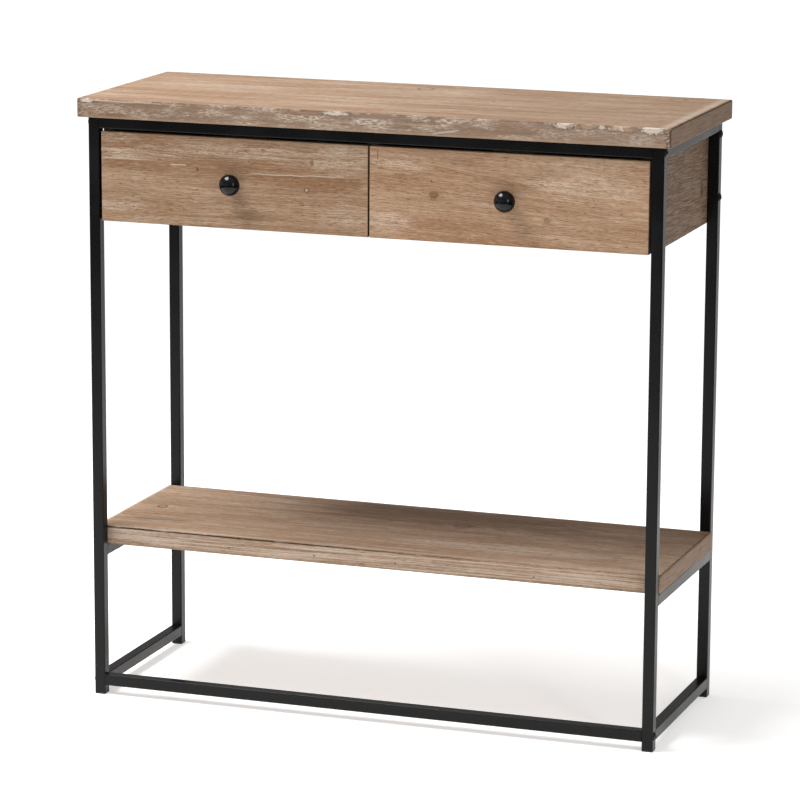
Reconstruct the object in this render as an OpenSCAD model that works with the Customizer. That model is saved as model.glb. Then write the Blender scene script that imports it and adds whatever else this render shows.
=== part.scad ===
// Narrow console table: a square-tube steel frame with a timber top, a timber shelf
// and a timber case that holds two drawers side by side.
// Units are millimetres. +Z is up, +X is to the right seen from the front, -Y is the front.
// The origin is on the floor, under the middle of the overall box.

/* [Overall] */
// Width of the top board, left to right
top_w = 800; // [600:10:1200]
// Depth of the top board, front to back
top_d = 300; // [250:5:420]
// Height of the table, floor to top face
table_h = 806; // [600:2:1000]
// Thickness of the top board and of the shelf board
board_t = 25; // [20:1:40]

/* [Steel frame] */
// Outer width of the square steel tube
tube = 15; // [12:0.5:25]
// Overhang of the top board past the frame at each side
side_overhang = 11; // [2:1:40]
// Overhang of the top board past the front legs
front_overhang = 11; // [2:1:16]
// Overhang of the top board past the back legs
back_overhang = 7; // [0:1:30]
// Height of the underside of the bottom rails above the floor
bottom_rail_h = 12.5; // [5:0.5:60]
// Height of the top face of the shelf above the floor
shelf_h = 230; // [120:5:400]

/* [Drawers] */
// Height of each drawer front
face_h = 118; // [80:1:160]
// Diameter of the round knobs
knob_d = 28; // [20:1:36]
// Thickness of the boards of the drawer boxes
box_t = 12; // [9:1:18]

/* [Hidden] */
$fn = 64;

// steel tube
tube_wall = 1.2;
tube_corner = 1.5;
bore_w = tube - 2 * tube_wall;

// frame
frame_w = top_w - 2 * side_overhang;
frame_d = top_d - front_overhang - back_overhang;
leg_h = table_h - board_t;
leg_x = frame_w / 2 - tube / 2;
leg_inner_x = frame_w / 2 - tube;
inner_d = frame_d - 2 * tube;

// knob: a flattened ball on a short neck, all sized from its diameter
knob_r = knob_d / 2;
knob_len = knob_r * 25 / 14;
knob_rim_r = knob_r * 0.36;
knob_rim_x = knob_r - knob_rim_r;
knob_rim_z = knob_len * 0.54;
knob_dome_h = knob_len - knob_rim_z;
knob_cap_r = (knob_rim_x * knob_rim_x + knob_dome_h * knob_dome_h - knob_rim_r * knob_rim_r)
  / (2 * (knob_dome_h - knob_rim_r));
knob_base_r = knob_r * 0.57;
knob_neck_r = knob_r * 0.45;

// everything is placed from the front face of the front legs
front_reach = max(knob_len, front_overhang);
front_y = -(frame_d + back_overhang - front_reach) / 2;
mid_y = front_y + frame_d / 2;
back_y = front_y + frame_d;
leg_front_y = front_y + tube / 2;
leg_back_y = back_y - tube / 2;

// heights of the rail axes
top_rail_z = leg_h - tube / 2;
shelf_rail_z = shelf_h - board_t - tube / 2;
bottom_rail_z = bottom_rail_h + tube / 2;

// foot caps
cap_flange = 2;
cap_chamfer = 0.8;
cap_spigot = 14;

// M6 button-head bolts and their threaded parts
bolt_r = 3;
bolt_hole_r = 3.3;
thread_gap = 0.05;
bolt_head_r = 5.5;
bolt_head_h = 2.5;
bolt_head_rim = 0.8;
bolt_key_w = 4;
bolt_key_deep = 1.3;
insert_r = 4.5;
insert_len = 11;
insert_grip = 9;
plug_len = 20;
plug_grip = 16;

// wood screws that hold the top down
screw_r = 2;
screw_hole_r = 2.2;
screw_head_r = 4;
screw_head_h = 2.4;
screw_access_r = 5;
screw_bite = 15;
top_screw_y = inner_d * 0.26;
top_screw_x = frame_w * 0.24;

// shelf
shelf_proud = 2;
shelf_gap = 0.5;
shelf_w = frame_w + 2 * shelf_proud;
shelf_d = inner_d - 2 * shelf_gap;
shelf_bolt_y = frame_d / 2 - 58;
arris_r = 1.5;

// drawer fronts
face_t = tube;
face_gap_top = 3.5;
face_gap_leg = 3;
face_gap_mid = 1.5;
face_arris = 0.8;
face_top = leg_h - tube - face_gap_top;
face_bottom = face_top - face_h;
face_x0 = face_gap_mid / 2;
face_x1 = leg_inner_x - face_gap_leg;
face_mid_x = (face_x0 + face_x1) / 2;
face_mid_z = (face_top + face_bottom) / 2;

// case
case_t = 15;
case_arris = 0.6;
case_back_t = 12;
case_floor_t = 9;
case_gap = 0.5;
case_front_y = front_y + face_t + case_gap;
case_back_y = back_y - 1;
case_d = case_back_y - case_front_y;
case_in_d = case_d - case_back_t;
case_in_back_y = case_front_y + case_in_d;
case_side_x = leg_inner_x - case_t;
case_h = leg_h - face_bottom;
case_floor_top = face_bottom + case_floor_t;
bay_x0 = case_t / 2;
bay_x1 = case_side_x;
bay_w = bay_x1 - bay_x0;
bay_mid_x = (bay_x0 + bay_x1) / 2;
case_bolt_z_low = face_bottom + face_h * 0.29;
case_bolt_z_high = face_top - 0.5;

// stretcher over each drawer, with the block that stops the drawer
stretcher_t = tube;
stretcher_d = 40;
stretcher_z = leg_h - stretcher_t;
stop_w = 60;
stop_d = 15;
stop_h = 16;
stop_y = case_front_y + stretcher_d - stop_d;

// drawer box
box_side_gap = 1.5;
box_floor_gap = 0.4;
box_x0 = bay_x0 + box_side_gap;
box_x1 = bay_x1 - box_side_gap;
box_in_w = box_x1 - box_x0 - 2 * box_t;
box_mid_x = (box_x0 + box_x1) / 2;
box_y0 = front_y + face_t;
box_back_clear = 20.5;
box_d = case_in_back_y - box_y0 - box_back_clear;
box_z0 = case_floor_top + box_floor_gap;
box_side_top = face_top - 20.5;
box_side_h = box_side_top - box_z0;
box_back_top = face_top - 5.5;
box_bottom_t = 4;
box_bottom_z = box_z0 + 6;
groove_deep = 5;
groove_gap = 0.2;
box_back_z = box_bottom_z + box_bottom_t;

// dowels: large ones join case and top, small ones the thin boards
dowel_r = 4;
dowel_len = 30;
small_dowel_r = 3;
small_dowel_len = 24;
case_dowel_y = case_in_d * 0.33;
face_dowel_bite = 10;
back_dowel_bite = 8;
dowel_inset = 16;

// knob screw
knob_screw_r = 2;
knob_screw_hole_r = 2.25;
knob_screw_bite = knob_len / 2;
knob_screw_head_r = 4;
knob_screw_head_h = 2.5;

// colours for the preview
steel_c = [0.09, 0.09, 0.1];
zinc_c = [0.75, 0.75, 0.78];
wood_c = [0.69, 0.58, 0.48];
pale_wood_c = [0.8, 0.68, 0.52];
plastic_c = [0.05, 0.05, 0.05];

// ---- shared shapes ----

// Rectangle with round corners, centred.
module soft_rect(w, h, r) {
  union() {
    square([w - 2 * r, h], center = true);
    square([w, h - 2 * r], center = true);
    for (x = [-1, 1], y = [-1, 1])
      translate([x * (w / 2 - r), y * (h / 2 - r)]) circle(r);
  }
}

// Board with rounded arrises. It starts at x0, y0, z0.
module board(x0, y0, z0, w, d, t, r) {
  translate([x0 + w / 2, y0 + d / 2, z0 + t / 2])
    intersection() {
      linear_extrude(height = t, center = true) soft_rect(w, d, r);
      rotate([90, 0, 0]) linear_extrude(height = d, center = true) soft_rect(w, t, r);
      rotate([90, 0, 90]) linear_extrude(height = w, center = true) soft_rect(d, t, r);
    }
}

// Board with sharp edges. It starts at x0, y0, z0.
module plain_board(x0, y0, z0, w, d, t) {
  translate([x0, y0, z0]) cube([w, d, t]);
}

// Square tube along Z, centred.
module tube_run(length) {
  linear_extrude(height = length, center = true)
    difference() {
      soft_rect(tube, tube, tube_corner);
      square(bore_w, center = true);
    }
}

module rod_x(x0, x1, y, z, r) {
  translate([x0, y, z]) rotate([0, 90, 0]) cylinder(h = x1 - x0, r = r);
}

module rod_y(x, y0, y1, z, r) {
  translate([x, y0, z]) rotate([-90, 0, 0]) cylinder(h = y1 - y0, r = r);
}

module rod_z(x, y, z0, z1, r) {
  translate([x, y, z0]) cylinder(h = z1 - z0, r = r);
}

// Button-head bolt. Its seat is at z = 0, the head is below and the shank goes up.
module button_bolt(length) {
  dome_h = bolt_head_h - bolt_head_rim;
  dome_r = (bolt_head_r * bolt_head_r + dome_h * dome_h) / (2 * dome_h);
  difference() {
    union() {
      cylinder(h = length, r = bolt_r);
      translate([0, 0, -bolt_head_rim]) cylinder(h = bolt_head_rim, r = bolt_head_r);
      intersection() {
        translate([0, 0, -bolt_head_h]) cylinder(h = dome_h, r = bolt_head_r);
        translate([0, 0, dome_r - bolt_head_h]) sphere(r = dome_r, $fn = 96);
      }
    }
    translate([0, 0, -bolt_head_h - 1])
      cylinder(h = bolt_key_deep + 1, r = bolt_key_w / sqrt(3), $fn = 6);
  }
}

// Threaded insert along Z: mouth at z = 0, body going up.
module threaded_insert() {
  difference() {
    cylinder(h = insert_len, r = insert_r);
    translate([0, 0, -1]) cylinder(h = insert_len + 2, r = bolt_r + thread_gap);
  }
}

// ---- steel frame ----

// sx: -1 left, 1 right. A front leg has the two rail bolts, a back leg the two case bolts.
module leg(sx, y, bolt_heights) {
  color(steel_c)
    difference() {
      translate([sx * leg_x, y, (leg_h + cap_flange) / 2]) tube_run(leg_h - cap_flange);
      for (z = bolt_heights)
        rod_x(sx * leg_x - tube, sx * leg_x + tube, y, z, bolt_hole_r);
    }
}

module front_leg(sx) {
  leg(sx, leg_front_y, [top_rail_z, bottom_rail_z]);
}

module back_leg(sx) {
  leg(sx, leg_back_y, [case_bolt_z_high, case_bolt_z_low]);
}

module foot_cap(sx, y) {
  color(plastic_c)
    translate([sx * leg_x, y, 0])
      union() {
        intersection() {
          linear_extrude(height = cap_flange) soft_rect(tube, tube, tube_corner);
          foot_slope();
          rotate([0, 0, 90]) foot_slope();
        }
        translate([-bore_w / 2, -bore_w / 2, cap_flange]) cube([bore_w, bore_w, cap_spigot]);
      }
}

// Wedge section that chamfers two lower edges of a foot cap.
module foot_slope() {
  half = tube / 2;
  rotate([90, 0, 0])
    linear_extrude(height = tube + 2, center = true)
      polygon([[-half + cap_chamfer, 0], [half - cap_chamfer, 0], [half, cap_chamfer],
        [half, cap_flange], [-half, cap_flange], [-half, cap_chamfer]]);
}

module side_rail(sx, z) {
  translate([sx * leg_x, mid_y, z]) rotate([90, 0, 0]) tube_run(inner_d);
}

module top_side_rail(sx) {
  color(steel_c)
    difference() {
      side_rail(sx, top_rail_z);
      for (sy = [-1, 1]) top_screw_holes(sx * leg_x, mid_y + sy * top_screw_y);
    }
}

module shelf_side_rail(sx) {
  color(steel_c)
    difference() {
      side_rail(sx, shelf_rail_z);
      for (sy = [-1, 1])
        rod_z(sx * leg_x, mid_y + sy * shelf_bolt_y, shelf_rail_z - tube, shelf_rail_z + tube,
          bolt_hole_r);
    }
}

module bottom_side_rail(sx) {
  color(steel_c) side_rail(sx, bottom_rail_z);
}

module front_rail(z) {
  translate([0, leg_front_y, z]) rotate([0, 90, 0]) tube_run(2 * leg_inner_x);
}

module top_front_rail() {
  color(steel_c)
    difference() {
      front_rail(top_rail_z);
      for (sx = [-1, 1]) top_screw_holes(sx * top_screw_x, leg_front_y);
    }
}

module bottom_front_rail() {
  color(steel_c) front_rail(bottom_rail_z);
}

// A wide hole in the lower wall lets the screw in; it seats on the upper wall.
module top_screw_holes(x, y) {
  rod_z(x, y, top_rail_z - tube, top_rail_z, screw_access_r);
  rod_z(x, y, top_rail_z, top_rail_z + tube, screw_hole_r);
}

// Threaded blocks in the four ends of the front rails.
module rail_end_plugs() {
  color(zinc_c)
    for (sx = [-1, 1], z = [top_rail_z, bottom_rail_z])
      difference() {
        translate([sx * (leg_inner_x - plug_len / 2), leg_front_y, z])
          cube([plug_len, bore_w, bore_w], center = true);
        rod_x(sx * leg_inner_x - plug_len - 1, sx * leg_inner_x + plug_len + 1, leg_front_y, z,
          bolt_r + thread_gap);
      }
}

// ---- fasteners ----

// Bolts that run inwards along X from the outer faces of the legs.
module side_bolt(sx, y, z, length) {
  translate([sx * frame_w / 2, y, z]) rotate([0, -90 * sx, 0]) button_bolt(length);
}

module rail_bolts() {
  color(plastic_c)
    for (sx = [-1, 1], z = [top_rail_z, bottom_rail_z])
      side_bolt(sx, leg_front_y, z, tube + plug_grip);
}

module case_bolts() {
  color(plastic_c)
    for (sx = [-1, 1], z = [case_bolt_z_high, case_bolt_z_low])
      side_bolt(sx, leg_back_y, z, tube + insert_grip);
}

module shelf_bolts() {
  color(plastic_c)
    for (sx = [-1, 1], sy = [-1, 1])
      translate([sx * leg_x, mid_y + sy * shelf_bolt_y, shelf_rail_z - tube / 2])
        button_bolt(tube + insert_grip);
}

module case_inserts() {
  color(zinc_c)
    for (sx = [-1, 1], z = [case_bolt_z_high, case_bolt_z_low])
      translate([sx * leg_inner_x, leg_back_y, z]) rotate([0, -90 * sx, 0]) threaded_insert();
}

module shelf_inserts() {
  color(zinc_c)
    for (sx = [-1, 1], sy = [-1, 1])
      translate([sx * leg_x, mid_y + sy * shelf_bolt_y, shelf_h - board_t]) threaded_insert();
}

// Screw with its head inside the rail, against the upper wall.
module top_screw(x, y) {
  seat = leg_h - tube_wall;
  rod_z(x, y, seat - screw_head_h, seat, screw_head_r);
  rod_z(x, y, seat - 0.5, leg_h + screw_bite, screw_r);
}

module top_screws() {
  color(zinc_c) {
    for (sx = [-1, 1], sy = [-1, 1]) top_screw(sx * leg_x, mid_y + sy * top_screw_y);
    for (sx = [-1, 1]) top_screw(sx * top_screw_x, leg_front_y);
  }
}

// ---- top and shelf ----

module tabletop() {
  color(wood_c)
    difference() {
      board(-top_w / 2, front_y - front_overhang, leg_h, top_w, top_d, board_t, arris_r);
      for (sx = [-1, 1], sy = [-1, 1])
        top_pilot_hole(sx * leg_x, mid_y + sy * top_screw_y);
      for (sx = [-1, 1]) top_pilot_hole(sx * top_screw_x, leg_front_y);
      top_dowel_pegs();
    }
}

module top_pilot_hole(x, y) {
  rod_z(x, y, leg_h - 1, leg_h + screw_bite + 0.5, screw_r + thread_gap);
}

module shelf() {
  color(wood_c)
    difference() {
      board(-shelf_w / 2, mid_y - shelf_d / 2, shelf_h - board_t, shelf_w, shelf_d, board_t,
        arris_r);
      for (sx = [-1, 1], sy = [-1, 1])
        rod_z(sx * leg_x, mid_y + sy * shelf_bolt_y, shelf_h - board_t - 1,
          shelf_h - board_t + insert_len, insert_r);
    }
}

// ---- case ----

module case_side(sx) {
  color(wood_c)
    difference() {
      board(sx * (leg_inner_x - case_t / 2) - case_t / 2, case_front_y, face_bottom, case_t,
        case_d, case_h, case_arris);
      for (z = [case_bolt_z_high, case_bolt_z_low])
        rod_x(sx * (leg_inner_x - insert_len / 2 + 1) - insert_len / 2 - 1,
          sx * (leg_inner_x - insert_len / 2 + 1) + insert_len / 2 + 1, leg_back_y, z, insert_r);
      top_dowel_pegs();
      floor_dowel_pegs();
    }
}

module case_divider() {
  color(wood_c)
    difference() {
      plain_board(-case_t / 2, case_front_y, case_floor_top, case_t, case_in_d,
        leg_h - case_floor_top);
      top_dowel_pegs();
    }
}

module case_back() {
  color(wood_c)
    plain_board(-case_side_x, case_in_back_y, face_bottom, 2 * case_side_x, case_back_t, case_h);
}

module case_floor() {
  color(wood_c)
    difference() {
      plain_board(-case_side_x, case_front_y, face_bottom, 2 * case_side_x, case_in_d,
        case_floor_t);
      floor_dowel_pegs();
    }
}

module case_stretcher(sx) {
  color(wood_c)
    plain_board(sx * bay_mid_x - bay_w / 2, case_front_y, stretcher_z, bay_w, stretcher_d,
      stretcher_t);
}

module stop_block(sx) {
  color(pale_wood_c)
    plain_board(sx * bay_mid_x - stop_w / 2, stop_y, stretcher_z - stop_h, stop_w, stop_d,
      stop_h);
}

// Pegs between the case and the top board.
module top_dowel_pegs() {
  for (x = [-1, 0, 1], sy = [-1, 1])
    rod_z(x * (leg_inner_x - case_t / 2), case_front_y + case_in_d / 2 + sy * case_dowel_y,
      leg_h - dowel_len / 2, leg_h + dowel_len / 2, dowel_r);
}

// Pegs between the case sides and the case floor.
module floor_dowel_pegs() {
  for (sx = [-1, 1], sy = [-1, 1])
    rod_x(sx * case_side_x - small_dowel_len / 2, sx * case_side_x + small_dowel_len / 2,
      case_front_y + case_in_d / 2 + sy * case_dowel_y, face_bottom + case_floor_t / 2,
      small_dowel_r);
}

module case_dowels() {
  color(pale_wood_c) {
    top_dowel_pegs();
    floor_dowel_pegs();
  }
}

// ---- drawers, drawn for the right bay and mirrored for the left one ----

module to_bay(sx) {
  if (sx < 0) mirror([1, 0, 0]) children();
  else children();
}

module drawer_front() {
  color(wood_c)
    difference() {
      board(face_x0, front_y, face_bottom, face_x1 - face_x0, face_t, face_h, face_arris);
      plain_board(box_x0 + box_t - groove_deep, box_y0 - groove_deep, box_bottom_z,
        box_in_w + 2 * groove_deep, groove_deep + 1, box_bottom_t);
      rod_y(face_mid_x, front_y - 1, front_y + face_t + 1, face_mid_z, knob_screw_hole_r);
      face_dowel_pegs();
    }
}

// outer = 1 for the side next to the case side, 0 for the one next to the divider
module drawer_side(outer) {
  side_x = outer == 1 ? box_x1 - box_t : box_x0;
  groove_x = outer == 1 ? side_x : side_x + box_t - groove_deep;
  color(pale_wood_c)
    difference() {
      plain_board(side_x, box_y0, box_z0, box_t, box_d, box_side_h);
      plain_board(groove_x, box_y0 - 1, box_bottom_z, groove_deep, box_d + 2, box_bottom_t);
      face_dowel_pegs();
      back_dowel_pegs();
    }
}

module drawer_back() {
  color(pale_wood_c)
    difference() {
      plain_board(box_x0 + box_t, box_y0 + box_d - box_t, box_back_z, box_in_w, box_t,
        box_back_top - box_back_z);
      back_dowel_pegs();
    }
}

module drawer_bottom() {
  reach = groove_deep - groove_gap;
  color(pale_wood_c)
    plain_board(box_x0 + box_t - reach, box_y0 - reach, box_bottom_z, box_in_w + 2 * reach,
      box_d + reach, box_bottom_t);
}

// Pegs from the drawer front into the ends of the two sides.
module face_dowel_pegs() {
  for (x = [box_x0 + box_t / 2, box_x1 - box_t / 2],
      z = [box_back_z + dowel_inset / 2, box_side_top - dowel_inset])
    rod_y(x, box_y0 - face_dowel_bite, box_y0 - face_dowel_bite + small_dowel_len, z,
      small_dowel_r);
}

// Pegs from the two sides into the ends of the drawer back.
module back_dowel_pegs() {
  for (z = [box_back_z + dowel_inset / 2, box_side_top - dowel_inset]) {
    rod_x(box_x0 + box_t - back_dowel_bite, box_x0 + box_t - back_dowel_bite + small_dowel_len,
      box_y0 + box_d - box_t / 2, z, small_dowel_r);
    rod_x(box_x1 - box_t + back_dowel_bite - small_dowel_len, box_x1 - box_t + back_dowel_bite,
      box_y0 + box_d - box_t / 2, z, small_dowel_r);
  }
}

module drawer_dowels() {
  color(pale_wood_c) {
    face_dowel_pegs();
    back_dowel_pegs();
  }
}

// Half section of the knob: a spherical cap runs smoothly into a round rim, and the
// underside narrows to a neck that stands on a small flange.
module knob_section() {
  cap_z = knob_len - knob_cap_r;
  far = 2 * knob_len;
  union() {
    polygon([[0, 0], [knob_base_r, 0], [knob_base_r, knob_len * 0.06],
      [knob_neck_r, knob_len * 0.12], [knob_neck_r, knob_len * 0.24],
      [knob_rim_x, knob_rim_z - knob_rim_r], [knob_rim_x, knob_rim_z], [0, cap_z]]);
    translate([knob_rim_x, knob_rim_z]) circle(knob_rim_r);
    intersection() {
      translate([0, cap_z]) circle(knob_cap_r, $fn = 96);
      polygon([[0, cap_z], [knob_rim_x * 2, 2 * knob_rim_z - cap_z], [knob_rim_x * 2, far],
        [0, far]]);
    }
  }
}

module drawer_knob() {
  color(plastic_c)
    translate([face_mid_x, front_y, face_mid_z])
      rotate([90, 0, 0])
        difference() {
          rotate_extrude($fn = 96) knob_section();
          translate([0, 0, -1])
            cylinder(h = knob_screw_bite + 1.5, r = knob_screw_r + thread_gap);
        }
}

module drawer_knob_screw() {
  color(zinc_c) {
    rod_y(face_mid_x, front_y - knob_screw_bite, front_y + face_t + 0.5, face_mid_z,
      knob_screw_r);
    rod_y(face_mid_x, front_y + face_t, front_y + face_t + knob_screw_head_h, face_mid_z,
      knob_screw_head_r);
  }
}

// ---- one line for each sub-part ----

front_leg(-1);  // leg_front_left
front_leg(1);  // leg_front_right
back_leg(-1);  // leg_back_left
back_leg(1);  // leg_back_right
foot_cap(-1, leg_front_y);  // foot_cap_front_left
foot_cap(1, leg_front_y);  // foot_cap_front_right
foot_cap(-1, leg_back_y);  // foot_cap_back_left
foot_cap(1, leg_back_y);  // foot_cap_back_right
top_side_rail(-1);  // top_rail_left
top_side_rail(1);  // top_rail_right
top_front_rail();  // top_rail_front
shelf_side_rail(-1);  // shelf_rail_left
shelf_side_rail(1);  // shelf_rail_right
bottom_side_rail(-1);  // bottom_rail_left
bottom_side_rail(1);  // bottom_rail_right
bottom_front_rail();  // bottom_rail_front
rail_end_plugs();
rail_bolts();
case_bolts();
shelf_bolts();
top_screws();
case_inserts();
shelf_inserts();
tabletop();
shelf();
case_side(-1);  // case_side_left
case_side(1);  // case_side_right
case_divider();
case_back();
case_floor();
case_stretcher(-1);  // case_stretcher_left
case_stretcher(1);  // case_stretcher_right
stop_block(-1);  // stop_block_left
stop_block(1);  // stop_block_right
case_dowels();
to_bay(-1) drawer_front();  // drawer_left_front
to_bay(-1) drawer_side(1);  // drawer_left_side_outer
to_bay(-1) drawer_side(0);  // drawer_left_side_inner
to_bay(-1) drawer_back();  // drawer_left_back
to_bay(-1) drawer_bottom();  // drawer_left_bottom
to_bay(-1) drawer_dowels();  // drawer_left_dowels
to_bay(-1) drawer_knob();  // drawer_left_knob
to_bay(-1) drawer_knob_screw();  // drawer_left_knob_screw
to_bay(1) drawer_front();  // drawer_right_front
to_bay(1) drawer_side(1);  // drawer_right_side_outer
to_bay(1) drawer_side(0);  // drawer_right_side_inner
to_bay(1) drawer_back();  // drawer_right_back
to_bay(1) drawer_bottom();  // drawer_right_bottom
to_bay(1) drawer_dowels();  // drawer_right_dowels
to_bay(1) drawer_knob();  // drawer_right_knob
to_bay(1) drawer_knob_screw();  // drawer_right_knob_screw
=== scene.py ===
"""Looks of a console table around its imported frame: worn boards, knobs, paints and a studio."""

import math

import bmesh
import bpy
from mathutils import Matrix, Vector, noise


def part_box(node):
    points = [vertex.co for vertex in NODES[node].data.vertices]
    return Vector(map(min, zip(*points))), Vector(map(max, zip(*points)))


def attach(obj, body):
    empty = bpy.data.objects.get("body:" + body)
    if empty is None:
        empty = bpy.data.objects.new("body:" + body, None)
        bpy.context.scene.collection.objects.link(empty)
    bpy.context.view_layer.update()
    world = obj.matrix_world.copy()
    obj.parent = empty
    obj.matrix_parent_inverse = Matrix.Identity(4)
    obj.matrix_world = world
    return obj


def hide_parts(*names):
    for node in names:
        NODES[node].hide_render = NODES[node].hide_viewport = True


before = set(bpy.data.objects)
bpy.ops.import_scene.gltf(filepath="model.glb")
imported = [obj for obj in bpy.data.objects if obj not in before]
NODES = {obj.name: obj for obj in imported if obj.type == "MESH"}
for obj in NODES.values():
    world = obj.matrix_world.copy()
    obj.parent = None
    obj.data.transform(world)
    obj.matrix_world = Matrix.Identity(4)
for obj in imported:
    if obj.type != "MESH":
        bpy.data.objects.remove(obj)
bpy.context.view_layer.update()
X, Y, Z = 0, 1, 2


# ------------------------------------------------------------------ shader helpers
class Net:
    """A node tree being wired. Values and sockets are both accepted as inputs."""

    def __init__(self, owner):
        owner.use_nodes = True
        self.tree = owner.node_tree
        self.tree.nodes.clear()

    def node(self, kind, **props):
        node = self.tree.nodes.new(kind)
        for key, value in props.items():
            setattr(node, key, value)
        return node

    def put(self, socket, value):
        if isinstance(value, bpy.types.NodeSocket):
            self.tree.links.new(value, socket)
        else:
            socket.default_value = value

    def math(self, op, a, b=None):
        node = self.node("ShaderNodeMath", operation=op)
        for socket, value in zip(node.inputs, (a, b)):
            if value is not None:
                self.put(socket, value)
        return node.outputs[0]

    def fold(self, op, values):
        total = values[0]
        for value in values[1:]:
            total = self.math(op, total, value)
        return total

    def sum(self, *values):
        return self.fold("ADD", values)

    def mul(self, *values):
        return self.fold("MULTIPLY", values)

    def least(self, *values):
        return self.fold("MINIMUM", values)

    def most(self, *values):
        return self.fold("MAXIMUM", values)

    def sub(self, a, b):
        return self.math("SUBTRACT", a, b)

    def absolute(self, value):
        return self.math("ABSOLUTE", value)

    def hypot(self, a, b):
        return self.math("SQRT", self.sum(self.mul(a, a), self.mul(b, b)))

    def drift(self, value, amount):
        """A noise value turned into a push either way, about amount wide in all."""
        return self.mul(self.sub(value, 0.5), amount)

    def split(self, vector):
        node = self.node("ShaderNodeSeparateXYZ")
        self.put(node.inputs[0], vector)
        return node.outputs[0], node.outputs[1], node.outputs[2]

    def join(self, x, y, z):
        node = self.node("ShaderNodeCombineXYZ")
        for socket, value in zip(node.inputs, (x, y, z)):
            self.put(socket, value)
        return node.outputs[0]

    def noise(self, vector, scale=1.0, detail=3.0, rough=0.5):
        node = self.node("ShaderNodeTexNoise")
        self.put(node.inputs["Vector"], vector)
        self.put(node.inputs["Scale"], scale)
        self.put(node.inputs["Detail"], detail)
        self.put(node.inputs["Roughness"], rough)
        return node.outputs["Fac"]

    def step(self, value, lo, hi, to_lo=0.0, to_hi=1.0, smooth=True):
        node = self.node("ShaderNodeMapRange", clamp=True)
        node.interpolation_type = "SMOOTHSTEP" if smooth else "LINEAR"
        for socket, v in zip(node.inputs, (value, lo, hi, to_lo, to_hi)):
            self.put(socket, v)
        return node.outputs[0]

    def mix(self, fac, a, b):
        node = self.node("ShaderNodeMix", data_type="RGBA")
        self.put(node.inputs[0], fac)
        for socket, value in ((node.inputs[6], a), (node.inputs[7], b)):
            if not isinstance(value, bpy.types.NodeSocket):
                value = (*value, 1.0)
            self.put(socket, value)
        return node.outputs[2]

    def ellipse(self, u, v, spot, ragged=None):
        """0 at the middle of the spot, 1 at its edge. spot = (u, v, half u, half v)."""
        du = self.math("DIVIDE", self.sub(u, spot[0]), spot[2])
        dv = self.math("DIVIDE", self.sub(v, spot[1]), spot[3])
        r = self.sum(self.mul(du, du), self.mul(dv, dv))
        return r if ragged is None else self.sum(r, ragged)

    def bump(self, height, strength, distance):
        node = self.node("ShaderNodeBump")
        self.put(node.inputs["Height"], height)
        self.put(node.inputs["Strength"], strength)
        self.put(node.inputs["Distance"], distance)
        return node.outputs[0]


class Paint(Net):
    """A material with one principled surface."""

    def __init__(self, name):
        self.mat = bpy.data.materials.new(name)
        super().__init__(self.mat)
        out = self.node("ShaderNodeOutputMaterial")
        self.bsdf = self.node("ShaderNodeBsdfPrincipled")
        self.put(out.inputs["Surface"], self.bsdf.outputs[0])
        self.place = self.node("ShaderNodeTexCoord").outputs["Object"]

    def surface(self, **values):
        """Sets inputs of the surface: base_color sets Base Color, and so on."""
        for key, value in values.items():
            self.put(self.bsdf.inputs[key.replace("_", " ").title().replace("Ior", "IOR")], value)


# ------------------------------------------------------------------ timber
TONE = dict(
    dark=(0.130, 0.078, 0.046),
    mid=(0.285, 0.180, 0.113),
    light=(0.425, 0.290, 0.196),
    warm=(0.300, 0.172, 0.098),
    wash=(0.560, 0.470, 0.390),
    grey=(0.275, 0.197, 0.150),
    rust=(0.262, 0.142, 0.078),
)
PALE_LIFT = (1.55, 1.50, 1.35)
PALE = {key: tuple(min(0.9, c * k) for c, k in zip(tone, PALE_LIFT))
        for key, tone in TONE.items()}
NO_CAST = (1.0, 1.0, 1.0)


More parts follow.
